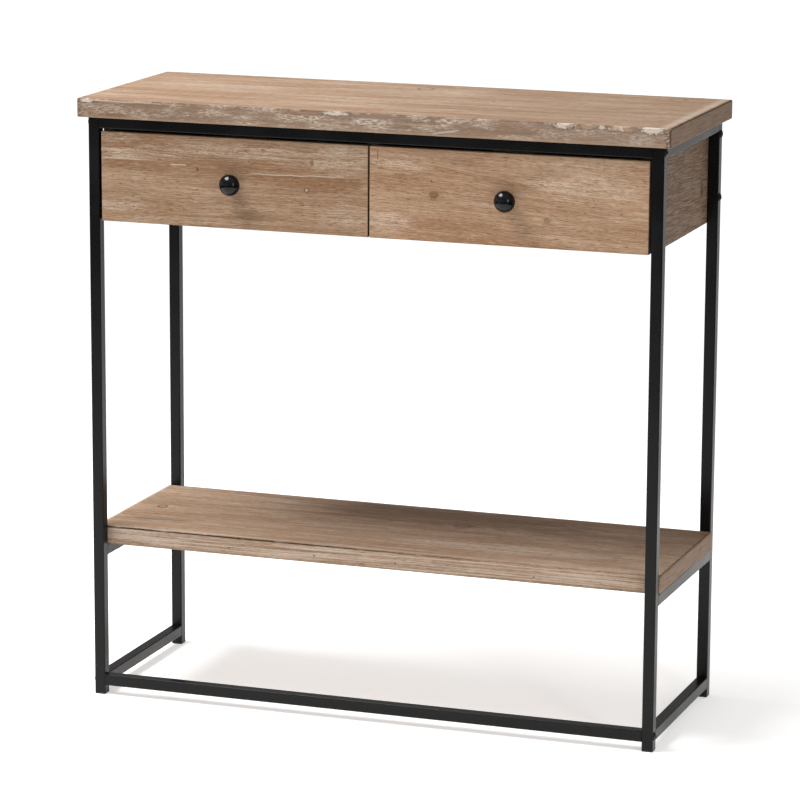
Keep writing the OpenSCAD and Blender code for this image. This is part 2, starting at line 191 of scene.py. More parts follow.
class Timber(Paint):
    """Weathered, washed timber. The solid is cut out of one growth-ring field, so the grain
    runs on from the faces to the arrises and the ends. Places are measured from the centre
    of the board: u along the grain, v across the wide face, w through the board."""

    def __init__(self, name, centre, half, along, face, seed, turn=0.0, heart=(0.0, -0.09),
                 tones=TONE, tone=1.0, cast=NO_CAST, coarse=1.0, knots=()):
        super().__init__(name)
        self.seed, self.tones, self.tone, self.cast = seed, tones, tone, cast
        self.knots = knots
        order = along, 3 - along - face, face
        axes = self.split(self.place)
        self.u, self.v, self.w = (self.sub(axes[a], centre[a]) for a in order)
        self.half = tuple(half[a] for a in order)
        # how far in from the nearest end, edge and wide face
        self.au, self.av, self.aw = (self.sub(h, self.absolute(p))
                                     for h, p in zip(self.half, (self.u, self.v, self.w)))

        # the grain may run slightly off the board's own line
        ct, st = math.cos(turn), math.sin(turn)
        self.gu = self.sum(self.mul(self.u, ct), self.mul(self.v, st))
        self.straight = self.sum(self.mul(self.v, ct), self.mul(self.u, -st))
        # slow wander of the grain, and a push round each knot
        self.sway = self.noise(self.join(self.mul(self.gu, 2.2), self.mul(self.straight, 9.0),
                                         self.sum(self.mul(self.w, 9.0), seed)), 1.0, 3.0, 0.55)
        push = self.drift(self.sway, 0.032)
        for ku, kv, size, _ in knots:
            far = self.ellipse(self.gu, self.straight, (ku, kv, size * 7.0, size * 3.0))
            near = self.math("POWER", math.e, self.mul(far, -1.6))
            push = self.sum(push, self.mul(near, self.sub(self.straight, kv), -0.75))
        self.gv = self.sum(self.straight, push)
        self.ring = self.hypot(self.sub(self.gv, heart[0]), self.sub(self.w, heart[1]))

        self.cloud = self.field(4.2, 30.0, 1.9, 3.0, 0.55)
        self.ribbon = self.field(6.5, 165.0, 20.0, 3.0, 0.62)
        self.band = self.field(1.5, 130.0, 3.1, 4.0, 0.66, on_ring=True)
        self.grain = self.field(8.0 * coarse, 640.0, 7.7, 3.0, 0.6, on_ring=True)
        self.dash = self.field(85.0 * coarse, 1000.0, 4.4, 3.0, 0.65)
        self.patch = self.field(15.0 * coarse, 85.0, 5.3, 5.0, 0.68)
        self.fleck = self.field(110.0 * coarse, 900.0, 9.0, 2.0, 0.5)
        self.fibre = self.field(30.0 * coarse, 1400.0, 0.0, 2.0, 0.6)
        self.tooth = self.field(420.0 * coarse, 1000.0, 12.0, 2.0, 0.6)
        self.rub = self.noise(self.join(self.mul(self.u, 38.0), self.mul(self.v, 38.0),
                                        self.sum(self.mul(self.w, 38.0), seed)), 1.0, 4.0, 0.65)
        self.pores = self.step(self.fleck, 0.37, 0.31)
        self.height = self.sum(self.mul(self.grain, 0.6), self.mul(self.fibre, 0.3),
                               self.mul(self.pores, -0.35))

    def field(self, su, sv, shift, detail=3.0, rough=0.55, on_ring=False):
        """Noise stretched along the grain: su and sv are features per metre."""
        if on_ring:
            place = self.join(self.mul(self.gu, su), self.mul(self.ring, sv), self.seed + shift)
        else:
            place = self.join(self.mul(self.gu, su), self.mul(self.gv, sv),
                              self.sum(self.mul(self.w, sv), self.seed + shift))
        return self.noise(place, 1.0, detail, rough)

    def tint(self, key, k=1.0):
        return tuple(c * self.tone * k * m for c, m in zip(self.tones[key], self.cast))

    def lay(self, shade, *masks):
        """Lays a shade over the colour so far, as strongly as the product of the masks."""
        self.col = self.mix(self.mul(*masks), self.col, shade)

    def sink(self, mask, depth):
        self.height = self.sum(self.height, self.mul(mask, -depth))

    def ground(self, warmth, broad):
        """Growth bands, warm and light clouds, and narrow ribbons of dark and wash."""
        self.col = self.mix(self.step(self.band, 0.30, 0.70), self.tint("mid", 1.12),
                            self.tint("light", 0.98))
        self.lay(self.tint("warm"), self.step(self.cloud, 0.47, 0.64), warmth)
        self.lay(self.tint("light", 1.08), self.step(self.cloud, 0.45, 0.30), 0.45)
        self.lay(self.tint("mid", 0.80), self.step(self.ribbon, 0.47, 0.34), broad)
        self.lay(self.tint("wash", 0.92), self.step(self.ribbon, 0.53, 0.66), broad * 0.8)

    def ledge(self, u1, v1, u2, v2, deep, strength, key):
        """A band of one tone that hangs deep under a line. Returns its mask."""
        slope = (v2 - v1) / (u2 - u1)
        line = self.sum(v1, self.mul(self.sub(self.u, u1), slope))
        rise = self.sum(self.sub(self.v, line), self.drift(self.sway, 0.012))
        mask = self.mul(self.step(rise, 0.0008, -0.0008), self.step(rise, -deep, 0.0),
                        self.step(self.u, u1 - 0.006, u1 + 0.02),
                        self.step(self.u, u2 + 0.006, u2 - 0.03),
                        self.step(self.patch, 0.2, 0.55, 0.6, 1.0))
        self.lay(self.tint(key), mask, strength)
        return mask

    def fine_lines(self, contrast):
        self.lay(self.tint("dark", 1.3), self.step(self.grain, 0.49, 0.36), 0.22 * contrast)
        self.lay(self.tint("wash", 0.95), self.step(self.grain, 0.53, 0.66), 0.18 * contrast)
        self.lay(self.tint("dark", 1.3), self.step(self.dash, 0.47, 0.37), 0.36 * contrast)
        self.lay(self.tint("wash", 0.95), self.step(self.dash, 0.53, 0.63), 0.26 * contrast)
        self.lay(self.tint("dark", 1.2), self.step(self.fibre, 0.46, 0.36), 0.40 * contrast)

    def washed(self, wash, spread, pale, bare):
        """Pale wash that stays in the open grain, thick on the pale spots, thin where bare. On the
        shelf the pale spot is a painted pool of light.
        Returns how much of it there is."""
        where = self.sum(self.mul(self.patch, 0.7), self.mul(self.cloud, -0.3), 0.3)
        where = self.step(where, 0.50, 0.72, 0.0, spread)
        for spot in pale:
            mask = self.step(self.ellipse(self.u, self.v, spot[:4],
                                          self.drift(self.patch, 3.0)), 1.0, 0.0)
            where = self.most(where, self.mul(mask, spot[4]))
        if bare:
            where = self.mul(where, self.step(self.most(*bare), 0.0, 1.0, 1.0, 0.15))
        streak = self.step(self.sum(self.mul(self.grain, 0.35), self.mul(self.dash, 0.35),
                                    self.mul(self.tooth, 0.30)), 0.46, 0.55)
        amount = self.mul(where, self.sum(self.mul(streak, 0.85), 0.15), wash)
        self.lay(self.tint("wash"), amount)
        return amount

    def lime(self, strength):
        """White and dark threads of a limed board."""
        thread = self.field(22.0, 950.0, 31.0, 3.0, 0.70)
        self.lay(self.tint("wash", 1.15), self.step(thread, 0.52, 0.60), strength)
        self.lay(self.tint("dark", 0.9), self.step(thread, 0.46, 0.38), strength)

    def stain(self, spot):
        """A dark patch: staining on most boards, painted shadow of the case on the shelf. spot =
        (u, v, half u, half v, strength).
        """
        ragged = self.drift(self.patch, 2.0)
        self.lay(self.tint("dark", 1.1),
                 self.step(self.ellipse(self.u, self.v, spot[:4], ragged), 1.0, 0.0), spot[4])

    def knot(self, ku, kv, size, strength):
        """Warm halo, swirled core and a dark edge."""
        d = self.ellipse(self.gu, self.straight, (ku, kv, size * 1.5, size),
                         self.drift(self.patch, 1.1))
        self.lay(self.tint("warm", 0.85), self.step(d, 9.0, 0.6), 0.40 * strength)
        swirl = self.math("SINE", self.mul(self.math("SQRT", self.absolute(d)), 9.0))
        core = self.step(d, 1.15, 0.35)
        inner = self.mix(self.step(swirl, -0.6, 0.8), self.tint("dark", 0.8),
                         self.tint("warm", 0.75))
        self.lay(inner, core, 0.80 * strength)
        self.lay(self.tint("dark", 0.6), self.step(d, 1.9, 1.1), self.step(d, 0.5, 1.0),
                 0.6 * strength)
        self.sink(core, 0.5 * strength)

    def mark(self, mu, mv, ru, rv, rim, core, key, k):
        """A small mark: a fill of one tone inside a dark ring."""
        d = self.ellipse(self.u, self.v, (mu, mv, ru, rv), self.drift(self.tooth, 0.9))
        self.lay(self.tint(key, k), self.step(d, 1.1, 0.5), core)
        self.lay(self.tint("dark", 0.5), self.step(d, 1.7, 1.0), self.step(d, 0.35, 0.8), rim)

    def scratch(self, u1, v1, u2, v2, width, strength, shade):
        """A straight scratch, seam or check that thins out at both ends."""
        length = math.hypot(u2 - u1, v2 - v1)
        du, dv = (u2 - u1) / length, (v2 - v1) / length
        pu, pv = self.sub(self.u, u1), self.sub(self.v, v1)
        t = self.sum(self.mul(pu, du), self.mul(pv, dv))
        wander = self.noise(self.join(self.mul(self.u, 40.0), self.seed, 0.0), 1.0, 2.0)
        off = self.absolute(self.sum(self.mul(pu, -dv), self.mul(pv, du),
                                 self.drift(wander, 0.004)))
        mask = self.mul(self.step(off, width, width * 0.25),
                        self.step(t, 0.0, length * 0.15), self.step(t, length, length * 0.85),
                        self.step(self.patch, 0.25, 0.5, 0.45, 1.0))
        self.lay(shade, mask, strength)
        self.sink(mask, 0.5)

    def end_grain(self, strength, k):
        """The ends drink up the staining, and show arcs of the growth rings. On the drawer fronts
        a small k takes them near black: painted shade in the gaps at their ends.
        """
        pith = self.noise(self.join(self.mul(self.v, 420.0), self.mul(self.w, 420.0),
                                    self.seed), 1.0, 3.0, 0.6)
        shade = self.mix(self.step(pith, 0.35, 0.62), self.tint("dark", 1.15 * k),
                         self.tint("mid", 1.05 * k))
        arcs = self.math("SINE", self.mul(self.ring, 2200.0))
        shade = self.mix(self.mul(self.step(arcs, 0.2, 0.9), 0.25), shade, self.tint("dark"))
        self.lay(shade, self.step(self.au, 0.0009, 0.0003), strength)

    def arrises(self, pale, dark, width):
        """Worn arrises: rubbed pale in places and dirty in others."""
        au, av, aw = self.au, self.av, self.aw
        near = self.least(self.most(au, av), self.most(av, aw), self.most(au, aw))
        line = self.step(near, width, width * 0.2)
        self.lay(self.tint("wash", 1.05), line, self.step(self.rub, 0.46, 0.60), pale)
        self.lay(self.tint("dark", 0.7), line, self.step(self.rub, 0.50, 0.38), dark)

    def finish(self, amount):
        rough = self.step(self.sum(self.mul(self.grain, 0.5), self.mul(amount, 0.5)),
                          0.2, 0.9, 0.52, 0.78, smooth=False)
        self.surface(base_color=self.col, roughness=rough, specular_ior_level=0.08,
                     normal=self.bump(self.height, 0.5, 0.0005))
        return self.mat


def wood(name, centre, half, along, face, seed, wash=0.5, contrast=1.0, warmth=0.7, broad=0.3,
         spread=1.0, limed=0.0, pale=(), stains=(), marks=(), ledges=(), lines=(),
         arris=(0.35, 0.35, 0.0016), end_dark=0.55, end_painted_shade_factor=1.0, extra=None, **cut):
    """One board's material, laid down from the ground colour up. Places are u, v on the board:
    pale, stains   u, v, half length, half width, strength (on the shelf some are painted light and painted shadow)
    knots          u, v, half width, strength
    marks          u, v, half length, half width, ring strength, fill strength, tone, factor
    ledges         u1, v1, u2, v2, depth of the band, strength, tone
    lines          u1, v1, u2, v2, half width, strength, colour
    arris          pale strength, dark strength, width"""
    t = Timber(name, centre, half, along, face, seed, **cut)
    t.ground(warmth, broad)
    bare = [t.ledge(*ledge) for ledge in ledges]
    t.fine_lines(contrast)
    amount = t.washed(wash, spread, pale, bare)
    if limed:
        t.lime(limed)
    t.lay(t.tint("dark", 0.8), t.pores, 0.55 * contrast)
    for spot in stains:
        t.stain(spot)
    for knot_place in t.knots:
        t.knot(*knot_place)
    for mark in marks:
        t.mark(*mark)
    for line in lines:
        t.scratch(*line)
    t.end_grain(end_dark, end_painted_shade_factor)
    t.arrises(*arris)
    if extra:
        extra(t)
    return t.finish(amount)


def board_wood(node, along, face, seed, **looks):
    """Timber for a node, centred on its CAD box."""
    lo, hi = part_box(node)
    return wood("timber_" + node, (lo + hi) / 2, (hi - lo) / 2, along, face, seed, **looks)


# ------------------------------------------------------------------ metal and plastic
def mottled(name, scale, detail, dark, light, soft=(0.35, 0.65)):
    """A paint whose colour drifts slowly between two shades."""
    net = Paint(name)
    slow = net.noise(net.place, scale, detail, 0.5)
    return net, slow, net.mix(net.step(slow, *soft), dark, light)


def coated_metal(name, base, rough, orange_peel, level, dust=0.0):
    """Painted steel: a fine orange-peel skin, slow changes of gloss and a little dust."""
    net, slow, col = mottled(name, 9.0, 3.0, base, tuple(c * 1.5 + 0.0004 for c in base),
                             (0.35, 0.68))
    skin = net.noise(net.place, 900.0, 2.0, 0.5)
    if dust:
        specks = net.step(net.noise(net.place, 2600.0, 1.0, 0.5), 0.70, 0.80)
        col = net.mix(net.mul(specks, dust), col, (0.16, 0.155, 0.15))
    gloss = net.sum(net.step(slow, 0.3, 0.7, rough - 0.05, rough + 0.05),
                    net.step(skin, 0.2, 0.8, -0.03, 0.03))
    net.surface(base_color=col, roughness=gloss, specular_ior_level=level,
                normal=net.bump(skin, orange_peel, 0.00012))
    return net.mat


def bare_metal(name):
    """Zinc plate on the hidden inserts and screws."""
    net, _, col = mottled(name, 120.0, 2.0, (0.50, 0.50, 0.52), (0.66, 0.65, 0.62))
    brush = net.noise(net.place, 1400.0, 2.0, 0.6)
    net.surface(base_color=col, metallic=1.0, roughness=net.step(brush, 0.3, 0.7, 0.28, 0.42),
                normal=net.bump(brush, 0.2, 0.0001))
    return net.mat


def moulded_plastic(name):
    """Fine-grained black plastic."""
    net, _, col = mottled(name, 60.0, 2.0, (0.012, 0.012, 0.012), (0.024, 0.023, 0.022))
    grain = net.noise(net.place, 1800.0, 2.0, 0.5)
    net.surface(base_color=col, roughness=net.step(grain, 0.3, 0.7, 0.50, 0.64),
                normal=net.bump(grain, 0.3, 0.0001))
    return net.mat


STEEL = coated_metal("powder_coat_black", (0.0030, 0.0030, 0.0032), 0.28, 0.10, 0.20, 0.2)
BOLT = coated_metal("black_bolt", (0.006, 0.006, 0.006), 0.28, 0.05, 0.30)
KNOB = coated_metal("gloss_enamel_black", (0.0012, 0.0012, 0.0015), 0.14, 0.02, 0.28)
ZINC = bare_metal("zinc_plate")
CAP = moulded_plastic("moulded_black")


# ------------------------------------------------------------------ pieces
def paint(obj, mat):
    obj.data.materials.clear()
    obj.data.materials.append(mat)


def new_object(name, bm):
    """An object in the scene from a finished bmesh."""
    mesh = bpy.data.meshes.new(name)
    bm.to_mesh(mesh)
    bm.free()
    obj = bpy.data.objects.new(name, mesh)
    bpy.context.collection.objects.link(obj)
    return obj


def stand_for(obj, node, body):
    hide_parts(node)
    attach(obj, body)


# ------------------------------------------------------------------ boards
NEAR_TICKS = (0.0, 0.16, 0.34, 0.56, 0.80, 1.15, 1.7)
LEAST_RADIUS = 0.0004


def ticks(lo, hi, soft, pitch):
    """Lattice lines from lo to hi: close together near the ends, then evenly spaced."""
    left = [lo + soft * t for t in NEAR_TICKS]
    right = [hi - soft * t for t in reversed(NEAR_TICKS)]
    count = max(1, round((right[0] - left[-1]) / pitch))
    step = (right[0] - left[-1]) / count
    return left + [left[-1] + step * i for i in range(1, count)] + right


def clamp(p, lo, hi):
    return Vector([min(max(p[a], lo[a]), hi[a]) for a in range(3)])


def worn_board(name, node, body, soft, pitch, wander, seed, wear=None):
    """A board in the place of a CAD node, with arrises rounded by use. Each surface point is
    moved onto a rounded edge whose radius changes along the board; nothing leaves the box."""
    lo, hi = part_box(node)
    most = soft * 2.6
    lines = [ticks(lo[i], hi[i], most, pitch[i]) for i in range(3)]
    bm = bmesh.new()
    made = {}

    def radius(p):
        n = noise.noise(Vector((p.x * 22.0 + seed, p.y * 22.0, p.z * 22.0)))
        fine = noise.noise(Vector((p.x * 120.0, p.y * 120.0 + seed, p.z * 120.0)))
        r = soft + wander * n + wander * 0.5 * fine + (wear(p) if wear else 0.0)
        return max(LEAST_RADIUS, min(r, most))

    def vert(i, j, k):
        if (i, j, k) not in made:
            p = Vector((lines[0][i], lines[1][j], lines[2][k]))
            r = radius(p)
            inner = Vector((r, r, r))
            core = clamp(p, lo + inner, hi - inner)
            away = p - core
            if away.length > 1e-9:
                p = clamp(core + away.normalized() * r, lo, hi)
            made[i, j, k] = bm.verts.new(p)
        return made[i, j, k]

    last = [len(line) - 1 for line in lines]
    for a in range(3):
        b, c = (a + 1) % 3, (a + 2) % 3
        for end in (0, last[a]):
            for j in range(last[b]):
                for k in range(last[c]):
                    quad = []
                    for dj, dk in ((0, 0), (1, 0), (1, 1), (0, 1)):
                        idx = [0, 0, 0]
                        idx[a], idx[b], idx[c] = end, j + dj, k + dk
                        quad.append(vert(*idx))
                    if end == 0:
                        quad.reverse()
                    bm.faces.new(quad).smooth = True
    obj = new_object(name, bm)
    obj.modifiers.new("even_normals", "WEIGHTED_NORMAL").keep_sharp = True
    stand_for(obj, node, body)
    return obj


# ---- top board
TOP_LO, TOP_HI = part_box("tabletop")
# knocks in the front arris: middle along the board, half length, depth
TOP_KNOCKS = ((0.262, 0.013, 0.0014), (0.2925, 0.009, 0.0010), (0.310, 0.006, 0.0006),
              (0.337, 0.017, 0.0013), (0.376, 0.012, 0.0011), (0.395, 0.007, 0.0016),
              (-0.396, 0.006, 0.0012))
# chips in the paint there: middle, half length, half height, how cream they are
TOP_CHIPS = ((0.262, 0.015, 0.0040, 0.90), (0.2925, 0.010, 0.0036, 0.20),
             (0.311, 0.006, 0.0026, 0.70), (0.337, 0.019, 0.0042, 0.45),
             (0.377, 0.015, 0.0052, 0.95), (-0.386, 0.012, 0.0026, 0.90),
             (-0.041, 0.020, 0.0024, 0.80))
CREAM = (0.60, 0.53, 0.455)
WORN_CORNER = (0.52, 0.46, 0.40)


def top_wear(p):
    """The right third of the front arris and both front corners are knocked."""
    front = max(0.0, 1.0 - abs(p.y - TOP_LO.y) / 0.004)
    up = max(0.0, 1.0 - abs(p.z - TOP_HI.z) / 0.006)
    r = 0.0
    for middle, reach, depth in TOP_KNOCKS:
        t = (p.x - middle) / reach
        if abs(t) < 1.0:
            bite = 0.6 + 0.4 * noise.noise(Vector((p.x * 260.0, 3.0, 0.0)))
            r += depth * (1.0 - t * t) * bite
    return r * min(1.0, front + up)


def end_lines(t, su, sw, third, dark, light):
    """The shade of the ends of a board: lines that run across them."""
    lines = t.noise(t.join(t.mul(t.v, su), t.mul(t.w, sw), third), 1.0, 4.0, 0.65)
    return t.mix(t.step(lines, 0.36, 0.62), t.tint("mid", dark), t.tint("light", light))


def top_paint(t):
    """Cream chips, a pale rubbed line and dark specks along the front of the top board."""
    u, v, w = t.u, t.v, t.w
    half_u, half_v, half_w = t.half
    drop = t.sub(half_w, w)
    inset = t.sum(v, half_v)
    side = t.sub(half_u, u)

    def smudge(su, sw, shift, detail=3.0, rough=0.6):
        return t.noise(t.join(t.mul(u, su), t.mul(w, sw), t.sum(t.mul(v, sw), shift)),
                       1.0, detail, rough)

    # the front face is greyer, smeared white in places and scuffed across the grain
    on_front = t.step(inset, 0.0022, 0.0008)
    t.lay(t.tint("grey", 1.18), on_front, t.step(smudge(12.0, 110.0, 4.0), 0.35, 0.62, 0.25, 0.70))
    t.lay(t.tint("dark", 1.4), on_front, t.step(u, 0.02, -0.30, 0.0, 0.42))
    t.lay(t.tint("wash", 1.22), on_front,
          t.step(smudge(20.0, 90.0, 8.0, 4.0), 0.44, 0.62),
          t.step(smudge(130.0, 820.0, 21.0), 0.42, 0.58),
          t.step(t.absolute(t.sum(u, 0.06)), 0.30, 0.12, 0.55, 1.0))
    t.lay(t.tint("warm"), on_front, t.step(smudge(16.0, 120.0, 15.0), 0.55, 0.70), 0.50)
    scuff = smudge(170.0, 420.0, 2.0, 3.0, 0.7)
    t.lay(t.tint("dark"), on_front, t.step(scuff, 0.43, 0.30), 0.60)

    # pale line under the front arris, strongest to the left
    wave = t.noise(t.join(t.mul(u, 34.0), 0.0, 5.0), 1.0, 4.0, 0.7)
    edge = t.sum(drop, t.drift(wave, 0.0040))
    t.lay(t.tint("wash", 1.15), on_front,
          t.step(edge, 0.0006, 0.0014), t.step(edge, 0.0040, 0.0020),
          t.most(t.step(u, -0.22, -0.33), t.step(wave, 0.48, 0.64, 0.0, 0.7)),
          t.step(t.tooth, 0.30, 0.50, 0.35, 0.85))
    # thin dark line on the arris itself
    depth = t.hypot(drop, inset)
    t.lay(t.tint("dark", 0.8), t.step(depth, 0.0022, 0.0008), t.step(wave, 0.62, 0.44), 0.65)
    # one slanting pale scratch
    run = t.sub(u, 0.0864)
    climb = t.sub(t.sum(w, 0.0098), t.mul(run, 0.167))
    t.lay(t.tint("wash", 1.15), on_front, t.step(t.absolute(climb), 0.0013, 0.0004),
          t.step(run, 0.0, 0.006), t.step(run, 0.0408, 0.034), 0.75)
    # warm light lower arris
    t.lay(t.tint("light", 1.10), on_front, t.step(w, -0.0086, -0.0108), 0.55)

    # knocked places: ragged cream and tan with dark pits, inside a dark outline
    bits = t.sum(t.drift(t.tooth, 2.6), t.drift(scuff, 3.0))
    reach = t.sum(depth, t.step(inset, 0.0012, 0.0040, 0.0, 0.0060))
    for middle, half_length, half_height, cream in TOP_CHIPS:
        d = t.ellipse(u, reach, (middle, 0.0030, half_length, half_height), bits)
        core = t.step(d, 0.95, 0.55)
        shade = t.mix(t.step(t.rub, 0.62 - cream * 0.3, 0.72 - cream * 0.3),
                      t.tint("light", 1.02), CREAM)
        t.lay(t.tint("dark", 0.8), t.step(d, 1.60, 1.05), t.step(d, 0.45, 0.90), 0.55)
        t.lay(shade, core, 0.90)
        t.sink(core, 0.7)
    # both front corners
    ragged = t.mul(t.sum(bits, t.drift(t.rub, 3.0)), 0.0022)
    patchy = t.mix(t.step(scuff, 0.50, 0.60), t.tint("warm", 0.55), WORN_CORNER)
    for sign, reach in ((-1.0, 0.0100), (1.0, 0.0090)):
        off = t.sum(t.sub(half_u, t.mul(u, sign)), ragged)
        t.lay(patchy, t.step(off, reach, reach * 0.4), on_front, 0.80)

    # the ends: lines run across them, with a paler band inboard of the right one
    t.lay(end_lines(t, 22.0, 620.0, t.mul(u, 3.0), 0.85, 0.92), t.step(t.au, 0.0020, 0.0008),
          0.80)
    t.lay(t.tint("wash", 0.98), t.step(side, 0.0035, 0.0055), t.step(side, 0.020, 0.009),
          t.step(w, 0.0100, 0.0118), 0.50)
    # dark arrises: along both ends, up the front right corner and along the back
    corner = t.sum(t.hypot(drop, t.au), t.drift(t.rub, 0.0020))
    t.lay(t.tint("dark", 0.55), t.step(corner, 0.0024, 0.0012), t.step(v, -0.149, -0.143),
          t.step(u, -0.1, 0.1, 0.50, 0.80))
    t.lay(t.tint("dark", 0.8), t.step(t.hypot(inset, side), 0.0026, 0.0014), 0.70)
    t.lay(t.tint("dark", 0.8), t.step(t.hypot(drop, t.sub(half_v, v)), 0.0034, 0.0016), 0.50)


top = worn_board("top_board", "tabletop", "table", 0.0017, (0.005, 0.010, 0.004), 0.0005, 1.0,
                 top_wear)
paint(top, wood("timber_top", (TOP_LO + TOP_HI) / 2, (TOP_HI - TOP_LO) / 2, X, Z, 11.0,
                heart=(-0.16, -0.10), tone=0.84, wash=0.75, contrast=1.25, broad=0.62,
                marks=((-0.007, 0.104, 0.0110, 0.0095, 0.60, 0.35, "light", 1.1),
                       (0.336, 0.119, 0.0115, 0.0080, 0.45, 0.30, "light", 1.1),
                       (0.115, 0.020, 0.0030, 0.0040, 0.30, 0.60, "dark", 1.2)),
                stains=((0.30, -0.02, 0.16, 0.05, 0.16), (0.10, -0.06, 0.20, 0.020, 0.12)),
                pale=((0.02, 0.09, 0.12, 0.035, 0.7), (-0.27, 0.02, 0.14, 0.05, 0.6)),
                arris=(0.30, 0.35, 0.0014), end_dark=0.0, extra=top_paint))

# ---- shelf board
SHELF_LO, SHELF_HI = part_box("shelf")
SHELF_PITS = ((-0.200, -0.0027, 0.0010), (-0.080, -0.0028, 0.0011), (0.033, -0.0034, 0.0010),
              (0.222, -0.0045, 0.0011))
CHECK_BLACK = (0.012, 0.010, 0.009)
CONTACT_SHADE_BLACK = (0.02, 0.016, 0.013)


def shelf_paint(t):
    """A dark check along the front arris that fades to the right, with a pale line behind."""
    u, v, w = t.u, t.v, t.w
    half_u, half_v, half_w = t.half
    inset = t.sum(v, half_v)
    drop = t.sub(half_w, w)
    side = t.sub(half_u, u)
    far_side = t.sum(u, half_u)
    on_front = t.step(inset, 0.0030, 0.0016)

    wave = t.noise(t.join(t.mul(u, 26.0), 0.0, 9.0), 1.0, 3.0, 0.6)
    d = t.absolute(t.sum(drop, -0.0014, t.drift(wave, 0.0016)))
    wide = t.step(u, -0.30, 0.30, 0.0014, 0.0007)
    gap = t.mul(t.step(t.math("DIVIDE", d, wide), 1.0, 0.35), on_front,
                t.step(u, -0.10, 0.24, 0.95, 0.30), t.step(wave, 0.34, 0.52, 0.45, 1.0))
    t.lay(CHECK_BLACK, gap)
    t.sink(gap, 1.2)
    # the front face is washed along straight, even lines
    line = t.noise(t.join(t.mul(u, 5.0), t.mul(w, 560.0), 6.0), 1.0, 3.0, 0.6)
    face = t.mul(on_front, t.step(drop, 0.0030, 0.0042))
    t.lay(t.tint("wash", 1.05), face, t.step(line, 0.46, 0.60),
          t.step(t.tooth, 0.3, 0.55, 0.5, 1.0), 0.72)
    t.lay(t.tint("dark", 1.3), face, t.step(line, 0.42, 0.30), 0.45)
    for pit_u, pit_w, size in SHELF_PITS:
        pit = t.ellipse(u, w, (pit_u, pit_w, size * 1.6, size))
        t.lay(t.tint("dark", 0.5), t.step(pit, 1.3, 0.5), on_front, 0.75)
    # pale line behind the front arris, and a dark wedge at its left end
    t.lay(t.tint("wash"), t.step(inset, 0.0022, 0.0040), t.step(inset, 0.010, 0.005),
          t.step(w, 0.0105, 0.0120), 0.35)
    wedge = t.sub(far_side, t.mul(t.absolute(t.sub(inset, 0.004)), -2.0))
    t.lay(t.tint("dark", 0.5), t.step(wedge, 0.030, 0.012), t.step(w, 0.006, 0.0115), 0.65)
    # dark lower arris and right arris
    t.lay(t.tint("dark", 0.55), on_front, t.step(w, -0.0100, -0.0118), 0.60)
    corner = t.sum(t.hypot(drop, side), t.drift(t.rub, 0.003))
    t.lay(t.tint("dark", 0.55), t.step(corner, 0.0034, 0.0018), 0.80)
    # the ends: lines run across them, with painted shade along the foot of the right one where it
    # sits on the rail
    t.lay(end_lines(t, 20.0, 520.0, 2.0, 0.8, 0.92), t.step(t.au, 0.0016, 0.0008), 0.75)
    # painted shade: the gap under the right end over the rail, deepest at the front
    t.lay(CONTACT_SHADE_BLACK, t.step(side, 0.0030, 0.0018), t.step(w, -0.0100, -0.0114),
          t.step(v, 0.09, -0.06, 0.2, 0.9))
    # pale line inside the left end
    t.lay(t.tint("wash", 1.05), t.step(far_side, 0.0012, 0.0022),
          t.step(far_side, 0.0060, 0.0035), t.step(w, 0.011, 0.012), 0.50)


shelf = worn_board("shelf_board", "shelf", "table", 0.0017, (0.006, 0.010, 0.004), 0.0005, 4.0)
paint(shelf, wood("timber_shelf", (SHELF_LO + SHELF_HI) / 2, (SHELF_HI - SHELF_LO) / 2, X, Z,
                  23.0, heart=(0.17, -0.09), tone=0.90, wash=0.80, contrast=1.25, broad=0.55,
                  knots=((0.071, 0.038, 0.0060, 0.5), (0.322, 0.013, 0.0040, 0.4)),
                  marks=((-0.349, 0.0025, 0.0062, 0.0080, 0.70, 0.40, "warm", 0.9),
                         (0.071, 0.038, 0.0110, 0.0110, 0.35, 0.40, "warm", 0.8)),
                  # the pale patch near the front is a painted pool of light
                  pale=((0.160, -0.062, 0.16, 0.030, 0.8),),
                  # the dark patches at the back middle and back right are painted shadow of the
                  # case above, partly staining
                  stains=((-0.320, -0.070, 0.06, 0.015, 0.45), (0.04, 0.075, 0.24, 0.065, 0.55),
                          (0.27, 0.045, 0.14, 0.05, 0.25)),
                  arris=(0.25, 0.30, 0.0014), end_dark=0.0, extra=shelf_paint))

# ---- drawer fronts: places are given in the frame, x and z, and turned into places on the board
FRONT_CAST = (1.0, 0.950, 0.885)
SEAM_BLACK = (0.03, 0.02, 0.015)
CREAM_LINE = (0.52, 0.44, 0.35)


def places(node):
    """Helpers for marks on a front: spot takes one place (x, z), run takes two."""
    lo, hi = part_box(node)
    mid = (lo + hi) / 2

    def spot(x, z, *rest):
        return (x - mid.x, z - mid.z, *rest)

    def run(x1, z1, x2, z2, *rest):
        return (x1 - mid.x, z1 - mid.z, x2 - mid.x, z2 - mid.z, *rest)
    return spot, run


def front_board(side, seed, **looks):
    name = "drawer_" + side
    obj = worn_board(name + "_face", name + "_front", name, 0.0009, (0.007, 0.005, 0.006),
                     0.0003, 7.0)
    lo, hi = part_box(name + "_front")
    # the ends of each front are painted near black: painted shade in the gaps beside the legs
    paint(obj, wood("timber_" + name, (lo + hi) / 2, (hi - lo) / 2, X, Y, seed, cast=FRONT_CAST,
                    end_painted_shade_factor=0.25, arris=(0.2, 0.5, 0.0009), end_dark=0.95, **looks))


